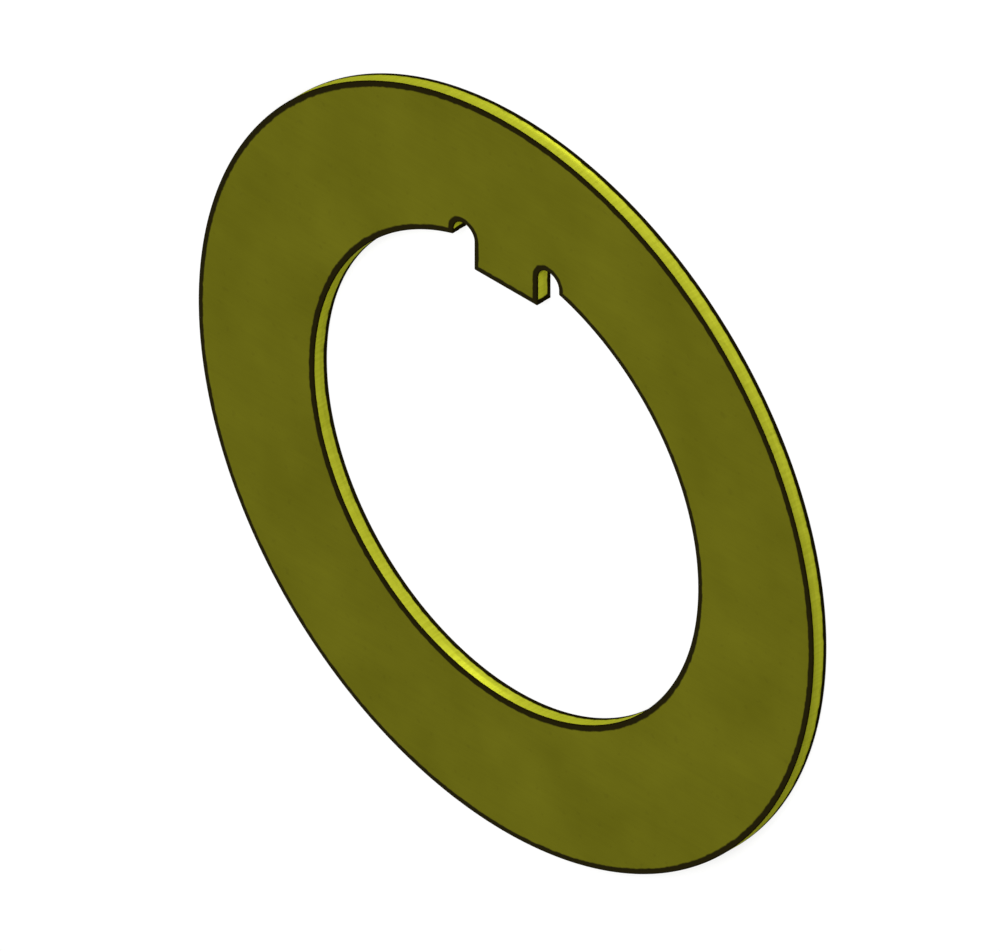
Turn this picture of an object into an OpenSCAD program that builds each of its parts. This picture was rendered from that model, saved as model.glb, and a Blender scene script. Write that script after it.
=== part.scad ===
// Internal tab washer, blanked and pierced from one flat sheet.
// It lies on its seat face, with the bore's axis along +Z and the tongue at +Y,
// and its origin is on the axis, in the plane of the seat face.

/* [Ring] */
// Outside diameter of the ring
outer_d = 80; // [74:0.5:120]
// Diameter of the bore, which passes over the shaft
bore_d = 50; // [32:0.5:56]
// Thickness of the sheet
sheet_t = 1.8; // [1:0.1:4]

/* [Tongue] */
// Width of the tongue, which slides in the shaft's keyway
tongue_w = 8.2; // [5:0.1:14]
// How far the tongue stands into the bore, measured on its centre line
tongue_h = 3.6; // [2:0.1:8]

/* [Relief notches] */
// Width of each notch at the tongue's root, and the diameter of its round end
notch_w = 2.8; // [1.4:0.1:4.5]
// How far a notch's round end rises past the top of the bore
notch_rise = 0.9; // [0.5:0.1:3]

/* [Edges] */
// Width of the small bevel that breaks every sharp edge of both faces
edge_break = 0.1; // [0.05:0.01:0.3]

/* [Hidden] */
$fn = 180;
outer_r = outer_d / 2;
bore_r = bore_d / 2;
notch_r = notch_w / 2;
tongue_tip_y = bore_r - tongue_h;
// The round end of a notch touches the line of the tongue's flank
notch_x = tongue_w / 2 + notch_r;
notch_y = bore_r + notch_rise - notch_r;
// How far a punch passes each face of the sheet
punch_over = 1;

// Half section of the blank: a face at z = 0 and at z = sheet_t, with both rim edges broken
function blank_section() = [
    [0, 0],
    [outer_r - edge_break, 0],
    [outer_r, edge_break],
    [outer_r, sheet_t - edge_break],
    [outer_r - edge_break, sheet_t],
    [0, sheet_t]
];

// Half section of a punch that leaves a wall at half_w from its middle and breaks the hole's two edges.
// Its flares go on past both faces at the same 45 degrees.
function punch_section(half_w) = [
    [0, -punch_over],
    [half_w + edge_break + punch_over, -punch_over],
    [half_w, edge_break],
    [half_w, sheet_t - edge_break],
    [half_w + edge_break + punch_over, sheet_t + punch_over],
    [0, sheet_t + punch_over]
];

// Section of the tongue along its length: its tip's edges are broken, and its root lies inside the ring
function tongue_section() = [
    [tongue_tip_y, edge_break],
    [tongue_tip_y + edge_break, 0],
    [bore_r + notch_r, 0],
    [bore_r + notch_r, sheet_t],
    [tongue_tip_y + edge_break, sheet_t],
    [tongue_tip_y, sheet_t - edge_break]
];

// The round blank, before anything is pierced
module blank() {
    rotate_extrude() polygon(blank_section());
}

// The strip that the bore's punch leaves for the tongue, as far as the middle of each notch
module tongue_strip() {
    rotate([90, 0, 90])
        linear_extrude(2 * notch_x, center = true) polygon(tongue_section());
}

// The bore's punch, with a gap in it for the tongue
module bore_punch() {
    difference() {
        rotate_extrude() polygon(punch_section(bore_r));
        tongue_strip();
    }
}

// One notch's punch: a round end, and a straight run that goes down past the tongue's tip
module notch_punch() {
    translate([notch_x, notch_y, 0]) {
        rotate_extrude() polygon(punch_section(notch_r));
        rotate([90, 0, 0])
            linear_extrude(notch_y - tongue_tip_y + punch_over) {
                polygon(punch_section(notch_r));
                mirror([1, 0]) polygon(punch_section(notch_r));
            }
    }
}

module tongued_washer() {
    color("#656414")
        difference() {
            blank();
            bore_punch();
            notch_punch();
            mirror([1, 0, 0]) notch_punch();
        }
}

tongued_washer();
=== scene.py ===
import math

import bpy
from mathutils import Matrix, Vector


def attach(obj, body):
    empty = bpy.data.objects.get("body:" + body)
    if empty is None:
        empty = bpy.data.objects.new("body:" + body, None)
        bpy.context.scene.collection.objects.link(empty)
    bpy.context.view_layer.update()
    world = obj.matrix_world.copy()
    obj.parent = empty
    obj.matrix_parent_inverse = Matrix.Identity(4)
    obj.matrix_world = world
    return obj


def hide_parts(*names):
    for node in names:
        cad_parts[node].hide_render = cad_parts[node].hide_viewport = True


# The frame: the washer lies on its seat face at the origin, with the bore's axis along +Z and the tongue
# at +Y. Everything here is in metres, in that frame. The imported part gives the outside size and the
# thickness.
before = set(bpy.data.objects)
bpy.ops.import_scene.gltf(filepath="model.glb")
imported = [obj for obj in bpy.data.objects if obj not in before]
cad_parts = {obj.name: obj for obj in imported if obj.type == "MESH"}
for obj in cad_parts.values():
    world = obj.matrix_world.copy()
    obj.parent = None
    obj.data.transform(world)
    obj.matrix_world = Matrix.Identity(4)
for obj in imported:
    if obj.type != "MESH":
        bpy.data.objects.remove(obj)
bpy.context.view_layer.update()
bpy.ops.object.select_all(action="DESELECT")
mm = 0.001
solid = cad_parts["tongued_washer"].data.vertices
outer_r = max(vertex.co.xy.length for vertex in solid)
sheet_t = max(vertex.co.z for vertex in solid)
bore_r = 25 * mm

# The camera: a parallel isometric view, which looks down on the face from 35 degrees above it. It is rolled
# so that the tongue stands at the top of the picture, and is aimed, to within a pixel, by where the picture
# has the middle of the upper face.
picture_width_px = 1000
picture_centre_px = Vector((500, 475.5))
face_centre_px = Vector((505.6, 477.7))
bore_r_px = 271.7
px_size = bore_r / bore_r_px
towards_camera = Vector((1, 1, 1)).normalized()
camera_right = Vector((1, 0, -1)).normalized()
camera_up = towards_camera.cross(camera_right)
camera_distance = 0.5
shift_px = picture_centre_px - face_centre_px
aim = Vector((0, 0, sheet_t)) + (camera_right * shift_px.x - camera_up * shift_px.y) * px_size
bpy.ops.object.camera_add()
camera = bpy.context.object
camera.name = "camera"
camera.data.type = "ORTHO"
camera.data.ortho_scale = picture_width_px * px_size
turn = Matrix((camera_right, camera_up, towards_camera)).transposed().to_4x4()
camera.matrix_world = Matrix.Translation(aim + towards_camera * camera_distance) @ turn
bpy.context.scene.camera = camera
bpy.context.scene.view_settings.view_transform = "Standard"


def add_node(tree, kind, inputs=None, **settings):
    """Adds a shader node, sets it up, and links or sets the inputs that are given by name or number.
    A node that is given as an input stands for its first output."""
    node = tree.nodes.new("ShaderNode" + kind)
    for name, value in settings.items():
        setattr(node, name, value)
    for name, value in (inputs or {}).items():
        source = value.outputs[0] if isinstance(value, bpy.types.Node) else value
        if isinstance(source, bpy.types.NodeSocket):
            tree.links.new(source, node.inputs[name])
        else:
            node.inputs[name].default_value = source
    return node


# The studio: a washer on a light table in a white room. The camera and the metal's gloss see the room as
# plain white. As a light it is weak and soft, and comes mostly from below.
surround_below = 0.2
surround_above = 0.04
surround_seen = 1.0
world = bpy.data.worlds.new("studio")
world.use_nodes = True
bpy.context.scene.world = world
tree = world.node_tree
ray_direction = add_node(tree, "TexCoord").outputs["Generated"]
height = add_node(tree, "SeparateXYZ", {0: ray_direction}).outputs["Z"]
soft = add_node(tree, "MapRange", {0: height, 1: -1, 3: surround_below, 4: surround_above})
rays = add_node(tree, "LightPath").outputs
seen = add_node(tree, "Math", {0: rays["Is Camera Ray"], 1: rays["Is Glossy Ray"]}, operation="MAXIMUM")
seen = add_node(tree, "Math", {0: seen, 1: rays["Is Transmission Ray"]}, operation="MAXIMUM")
level = add_node(tree, "MapRange", {0: seen, 3: soft, 4: surround_seen})
white = add_node(tree, "Background", {"Color": (1, 1, 1, 1), "Strength": level})
tree.links.new(white.outputs[0], tree.nodes["World Output"].inputs["Surface"])
tree.nodes.remove(tree.nodes["Background"])

# Three round soft lamps. A strong one high behind the camera lights the upper face and the walls in view,
# and gives the shadow. The two others shine up through the table: one from beyond the tongue puts the gloss
# on the walls that face that way, and one lights the underside and the walls that face away. Each has its
# azimuth and elevation in degrees, its width, and its level. A level of 1 shows a surface that faces the
# lamp in its written colour.
lamps = {
    "key_lamp": (57, 54, 1.8, 1.12),
    "gloss_lamp": (115, -35, 0.7, 0.25),
    "under_lamp": (225, -68, 1.2, 0.6),
}
lamp_distance = 1.6
for name, (azimuth, elevation, width, lamp_level) in lamps.items():
    turn = Matrix.Rotation(math.radians(azimuth), 3, "Z") @ Matrix.Rotation(math.radians(-elevation), 3, "Y")
    outward = turn @ Vector((1, 0, 0))
    bpy.ops.object.light_add(type="AREA", location=outward * lamp_distance)
    lamp = bpy.context.object
    lamp.name = name
    lamp.visible_camera = False
    lamp.data.shape = "DISK"
    lamp.data.size = width
    lamp.data.energy = lamp_level * math.pi**2 * (lamp_distance**2 + width**2 / 4)
    lamp.rotation_mode = "QUATERNION"
    lamp.rotation_quaternion = outward.to_track_quat("Z", "Y")

# The table's top: it is plain white to the eye, with the washer's soft shadow on it. The lamps below shine
# through it, it takes no part in lighting the washer, and it isn't there when it is looked at from below.
floor_r = 0.8
floor_sides = 96
floor_gap = 0.02 * mm
floor_shaded = 0.3
floor_glow = 0.76
bpy.ops.mesh.primitive_circle_add(
    vertices=floor_sides, radius=floor_r, fill_type="NGON", location=(0, 0, -floor_gap)
)
floor = bpy.context.object
floor.name = "floor"
floor.visible_diffuse = False
floor.visible_glossy = False
floor.visible_shadow = False
table_top = bpy.data.materials.new("plain_white_table_top")
table_top.use_nodes = True
tree = table_top.node_tree
tree.nodes.remove(tree.nodes["Principled BSDF"])
shaded = add_node(tree, "BsdfDiffuse", {"Color": (floor_shaded, floor_shaded, floor_shaded, 1)})
glow = add_node(tree, "Emission", {"Color": (1, 1, 1, 1), "Strength": floor_glow})
lit = add_node(tree, "AddShader", {0: shaded, 1: glow})
clear = add_node(tree, "BsdfTransparent")
from_below = add_node(tree, "NewGeometry").outputs["Backfacing"]
surface = add_node(tree, "MixShader", {0: from_below, 1: lit, 2: clear})
tree.links.new(surface.outputs[0], tree.nodes["Material Output"].inputs["Surface"])
floor.data.materials.append(table_top)

# The washer: one piece, blanked and pierced in a press from a strip of sheet steel, tumbled to break its
# edges, then plated and dyed. Its plan is drawn first. The right half is a chain of lines and arcs: the rim,
# the tongue, the relief notch at the tongue's root, and the bore. Its mirror image makes the left half.
tongue_half_w = 4.1 * mm
tongue_h = 3.6 * mm
tongue_tip_y = bore_r - tongue_h
notch_r = 1.4 * mm
notch_rise = 0.9 * mm
notch_x = tongue_half_w + notch_r
notch_y = bore_r + notch_rise - notch_r
notch_side_x = notch_x + notch_r
notch_corner_y = math.sqrt(bore_r**2 - notch_side_x**2)
notch_corner_angle = math.atan2(notch_corner_y, notch_side_x)
rim_steps = 480
tip_steps = 8
flank_steps = 6
notch_steps = 24
bore_steps = 360
notch_step = math.pi / notch_steps
# The last stretch before a corner is one step, a little longer than the margin that is set into the face.
# The notch's short straight side is joined for that with the last step of its round end.
corner_step = 0.76 * mm
merge_distance = 0.01 * mm


def draw_line(x, y):
    """Draws a straight line on from the selected end of the chain."""
    bpy.ops.mesh.extrude_region_move(TRANSFORM_OT_translate={"value": (x, y, 0)})


def draw_arc(angle, steps, x=0.0, y=0.0):
    """Draws an arc about (x, y) on from the selected end of the chain, anticlockwise if angle is over 0."""
    bpy.ops.mesh.spin(steps=steps, angle=angle, center=(x, y, 0), axis=(0, 0, -1))


bpy.ops.mesh.primitive_plane_add(size=mm)
washer = bpy.context.object
washer.name = "pressed_washer"
bpy.ops.object.mode_set(mode="EDIT")
bpy.ops.mesh.select_mode(type="VERT")
bpy.ops.mesh.merge(type="CENTER")
bpy.ops.transform.translate(value=(0, -outer_r, 0))
draw_arc(math.pi, rim_steps)
draw_line(0, tongue_tip_y - outer_r)
for step in range(tip_steps):
    draw_line((tongue_half_w - corner_step) / tip_steps, 0)
draw_line(corner_step, 0)
draw_line(0, corner_step)
for step in range(flank_steps):
    draw_line(0, (notch_y - tongue_tip_y - corner_step) / flank_steps)
draw_arc(notch_step - math.pi, notch_steps - 1, notch_x, notch_y)
notch_end_x = notch_x + notch_r * math.cos(notch_step)
notch_end_y = notch_y + notch_r * math.sin(notch_step)
draw_line(notch_side_x - notch_end_x, notch_corner_y - notch_end_y)
draw_arc(-corner_step / bore_r, 1)
draw_arc(-(notch_corner_angle - corner_step / bore_r + math.pi / 2), bore_steps)
draw_line(0, bore_r - outer_r)
bpy.ops.mesh.select_all(action="SELECT")
bpy.ops.mesh.remove_doubles(threshold=merge_distance)
bpy.ops.mesh.fill(use_beauty=True)
bpy.ops.object.mode_set(mode="OBJECT")
bpy.ops.object.modifier_add(type="MIRROR")
washer.modifiers["Mirror"].merge_threshold = merge_distance
bpy.ops.object.modifier_apply(modifier="Mirror")

# The plan is pulled up to the sheet's thickness. A narrow margin is set into both faces, so that they stay
# flat inside it, and every sharp edge is broken with a small round, as tumbling leaves it.
edge_break = 0.1 * mm
edge_steps = 4
# How far the dark dye of an edge reaches into the face
face_band = 0.6 * mm
sharp_angle = math.radians(30)
# A face lies level if its normal's z is over this, up or down
level_limit = 0.5
# The third slot only marks the broken edges, which end up with the wall's finish
face_slot, wall_slot, edge_slot = 0, 1, 2

bpy.ops.object.mode_set(mode="EDIT")
bpy.ops.mesh.select_mode(type="FACE")
bpy.ops.mesh.select_all(action="SELECT")
bpy.ops.mesh.extrude_region_move(TRANSFORM_OT_translate={"value": (0, 0, sheet_t)})
bpy.ops.mesh.select_all(action="SELECT")
bpy.ops.mesh.normals_make_consistent(inside=False)
bpy.ops.object.mode_set(mode="OBJECT")
for face in washer.data.polygons:
    face.select = abs(face.normal.z) > level_limit
    face.material_index = face_slot if face.select else wall_slot
bpy.ops.object.mode_set(mode="EDIT")
bpy.ops.mesh.inset(thickness=edge_break + face_band, use_boundary=True, use_even_offset=True)
bpy.ops.mesh.select_all(action="DESELECT")
bpy.ops.mesh.select_mode(type="EDGE")
bpy.ops.mesh.edges_select_sharp(sharpness=sharp_angle)
bpy.ops.mesh.bevel(offset=edge_break, segments=edge_steps, clamp_overlap=False)
bpy.ops.object.mode_set(mode="OBJECT")
for face in washer.data.polygons:
    if face.select:
        face.material_index = edge_slot

# The walls. The press tools first cut into the sheet, which leaves a smooth bright land, and then the rest
# tears away, which leaves a duller grainy zone a little inside the land. The rim's torn zone is its upper
# half and the bore's is its lower half, because the blank and the slug left the strip opposite ways.
torn_depth = 0.045 * mm
torn_grain = 0.5 * mm
torn_fade = 0.36 * mm
half_t = sheet_t / 2
# How far the dark dye of an edge reaches down the wall, and how far it reaches up the wall's foot
wall_band = 0.06 * mm
foot_rise = 0.45 * mm
# Rows of edges go round the walls, as far above the middle of the sheet as below it
wall_rows = [0.06 * mm, torn_fade / 2, 0.38 * mm, half_t - edge_break - wall_band]
ring_middle_r = (bore_r + outer_r) / 2

bpy.ops.object.mode_set(mode="EDIT")
for row in wall_rows:
    for height in (half_t - row, half_t + row):
        bpy.ops.mesh.select_all(action="SELECT")
        bpy.ops.mesh.bisect(plane_co=(0, 0, height), plane_no=(0, 0, 1), threshold=merge_distance)
bpy.ops.object.mode_set(mode="OBJECT")


def torn_reach(place):
    """How far a point of a wall lies into its torn side, from the middle of the sheet."""
    side = 1 if place.xy.length > ring_middle_r else -1
    return side * (place.z - half_t)


reach = [torn_reach(vertex.co) for vertex in washer.data.vertices]
torn = [index for index, depth in enumerate(reach) if 0 < depth < wall_rows[-1] + merge_distance]
washer.vertex_groups.new(name="torn").add(torn, 1, "REPLACE")
grain = bpy.data.textures.new("torn_grain", "CLOUDS")
grain.noise_scale = torn_grain
bpy.ops.object.modifier_add(type="DISPLACE")
displace = washer.modifiers["Displace"]
displace.texture = grain
displace.vertex_group = "torn"
displace.mid_level = 0
displace.strength = -torn_depth
bpy.ops.object.modifier_apply(modifier="Displace")
bpy.ops.object.shade_smooth_by_angle(angle=sharp_angle)

torn_mark = washer.data.attributes.new("torn_wall", "FLOAT", "POINT")
for index, depth in enumerate(reach):
    torn_mark.data[index].value = min(max(depth / torn_fade + 0.5, 0), 1)

# The mark for the dye is 1 on the broken edges, and falls from there to 0 up the foot of the walls
edge_mark = washer.data.attributes.new("broken_edge", "FLOAT", "POINT")
for index, vertex in enumerate(washer.data.vertices):
    if vertex.co.z > edge_break:
        edge_mark.data[index].value = max(1 - (vertex.co.z - edge_break) / foot_rise, 0)
for face in washer.data.polygons:
    if face.material_index == edge_slot:
        face.material_index = wall_slot
        for corner in face.vertices:
            edge_mark.data[corner].value = 1

# The finish. The steel is zinc plated and then dipped in an olive drab chromate, which dyes the plate a deep
# yellow green and leaves a soft metal shine. The plate is thickest along the edges and takes the dye darkest
# there, in a thin line. The washer dried lying flat, so the dye drew up the foot of its walls too. Above
# that the walls have a lighter copy of the faces' finish, which is painted light, and the faces a darker
# one, which is painted shade, for how the light falls on each.
edge_colour = "#1b1705"
edge_roughness = 0.8
edge_waver_size = 0.9 * mm
edge_waver = 0.08
# The dark line starts where the mark for the dye is the first of these, and is full at the second
edge_line_start = 0.06
edge_line_full = 0.28
# Most of a noise node's values lie between these two
noise_low = 0.3
noise_high = 0.7
# The relief of the grain and of the drag lines
relief_strength = 0.2
relief_depth = 0.01 * mm


def linear(code):
    """The linear colour of an sRGB hex code."""
    channels = [int(code[i : i + 2], 16) / 255 for i in (1, 3, 5)]
    return tuple(c / 12.92 if c <= 0.04045 else ((c + 0.055) / 1.055) ** 2.4 for c in channels) + (1,)


def finish_surface(tree, place, colour, roughness, metallic):
    """Gives a material's shader its finish, and along each edge goes over to the dark dull one in a thin and
    slightly uneven line."""
    mark = add_node(tree, "Attribute", attribute_name="broken_edge").outputs["Fac"]
    noise = add_node(tree, "TexNoise", {"Vector": place, "Scale": 1 / edge_waver_size})
    waver = add_node(
        tree, "MapRange", {0: noise, 1: noise_low, 2: noise_high, 3: -edge_waver, 4: edge_waver}
    )
    uneven = add_node(tree, "Math", {0: mark, 1: waver}, operation="ADD")
    line = add_node(tree, "MapRange", {0: uneven, 1: edge_line_start, 2: edge_line_full})
    dyed = add_node(tree, "MixRGB", {"Fac": line, "Color1": colour, "Color2": linear(edge_colour)})
    dulled = add_node(tree, "MapRange", {0: line, 3: roughness, 4: edge_roughness})
    bare = add_node(tree, "MapRange", {0: line, 3: metallic, 4: 0})
    shader = tree.nodes["Principled BSDF"]
    for socket, source in {"Base Color": dyed, "Roughness": dulled, "Metallic": bare}.items():
        tree.links.new(source.outputs[0], shader.inputs[socket])


# Olive drab chromate on rolled steel: the faces keep the sheet's fine rolled grain, which runs along X,
# under a satin film whose thickness drifts. The eye gets a deep even olive with faint clouds, and a soft
# dull shine. The deep olive is painted shade, a darker copy of the walls' yellow green for the light that
# the faces don't get. The grain is drawn about three times as coarse as real, so that it shows at all.
shaded_face_tones = ("#5f5e0b", "#696811")
face_shine = "#a8a71e"
face_metallic = 0.45
face_gloss = 0.05
film_roughness = (0.5, 0.42)
cloud_size = 9 * mm
cloud_detail = 3
grain_size = (7 * mm, 0.25 * mm, 7 * mm)
grain_value = (0.97, 1.03)
shaded_face_metal = bpy.data.materials.new("rolled_face_painted_shade")
shaded_face_metal.use_nodes = True
tree = shaded_face_metal.node_tree
place = add_node(tree, "TexCoord").outputs["Object"]
clouds = add_node(tree, "TexNoise", {"Vector": place, "Scale": 1 / cloud_size, "Detail": cloud_detail})
film = add_node(tree, "MapRange", {0: clouds, 1: noise_low, 2: noise_high})
tone = add_node(
    tree, "MixRGB", {"Fac": film, "Color1": linear(shaded_face_tones[0]), "Color2": linear(shaded_face_tones[1])}
)
along_grain = add_node(tree, "Mapping", {"Vector": place, "Scale": [1 / size for size in grain_size]})
rolled = add_node(tree, "TexNoise", {"Vector": along_grain, "Scale": 1})
value = add_node(
    tree, "MapRange", {0: rolled, 1: noise_low, 2: noise_high, 3: grain_value[0], 4: grain_value[1]}
)
grained = add_node(tree, "HueSaturation", {"Value": value, "Color": tone})
satin = add_node(tree, "MapRange", {0: film, 3: film_roughness[0], 4: film_roughness[1]})
finish_surface(tree, place, grained, satin, face_metallic)
relief = add_node(tree, "Bump", {"Height": rolled, "Strength": relief_strength, "Distance": relief_depth})
shader = tree.nodes["Principled BSDF"]
tree.links.new(relief.outputs[0], shader.inputs["Normal"])
shader.inputs["Specular IOR Level"].default_value = face_gloss
shader.inputs["Specular Tint"].default_value = linear(face_shine)

# Chromate on sheared steel: the tools' fine drag lines cross the wall from face to face. The wall's bright
# yellow green is painted light, a lighter copy of the faces' olive for the light that falls on the walls. It
# has a clearer shine on the cut land and a duller one on the torn zone. The film is too thin to add a gloss
# of its own.
lit_wall_tones = ("#b5b92a", "#c2c634")
wall_shine = "#c8c880"
wall_metallic = 0.2
wall_gloss = 0
# From the cut land to the torn zone
wall_roughness = (0.34, 0.6)
wall_value = (1.015, 0.97)
streak_size = (0.3 * mm, 0.3 * mm, 6 * mm)
lit_wall_metal = bpy.data.materials.new("sheared_wall_painted_lit")
lit_wall_metal.use_nodes = True
tree = lit_wall_metal.node_tree
place = add_node(tree, "TexCoord").outputs["Object"]
across_wall = add_node(tree, "Mapping", {"Vector": place, "Scale": [1 / size for size in streak_size]})
streaks = add_node(tree, "TexNoise", {"Vector": across_wall, "Scale": 1})
streaked = add_node(tree, "MapRange", {0: streaks, 1: noise_low, 2: noise_high})
tone = add_node(
    tree, "MixRGB", {"Fac": streaked, "Color1": linear(lit_wall_tones[0]), "Color2": linear(lit_wall_tones[1])}
)
torn_part = add_node(tree, "Attribute", attribute_name="torn_wall").outputs["Fac"]
value = add_node(tree, "MapRange", {0: torn_part, 3: wall_value[0], 4: wall_value[1]})
shaded = add_node(tree, "HueSaturation", {"Value": value, "Color": tone})
sheen = add_node(tree, "MapRange", {0: torn_part, 3: wall_roughness[0], 4: wall_roughness[1]})
finish_surface(tree, place, shaded, sheen, wall_metallic)
relief = add_node(tree, "Bump", {"Height": streaks, "Strength": relief_strength, "Distance": relief_depth})
shader = tree.nodes["Principled BSDF"]
tree.links.new(relief.outputs[0], shader.inputs["Normal"])
shader.inputs["Specular IOR Level"].default_value = wall_gloss
shader.inputs["Specular Tint"].default_value = linear(wall_shine)

washer.data.materials.append(shaded_face_metal)
washer.data.materials.append(lit_wall_metal)
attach(washer, "root")
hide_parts("tongued_washer")
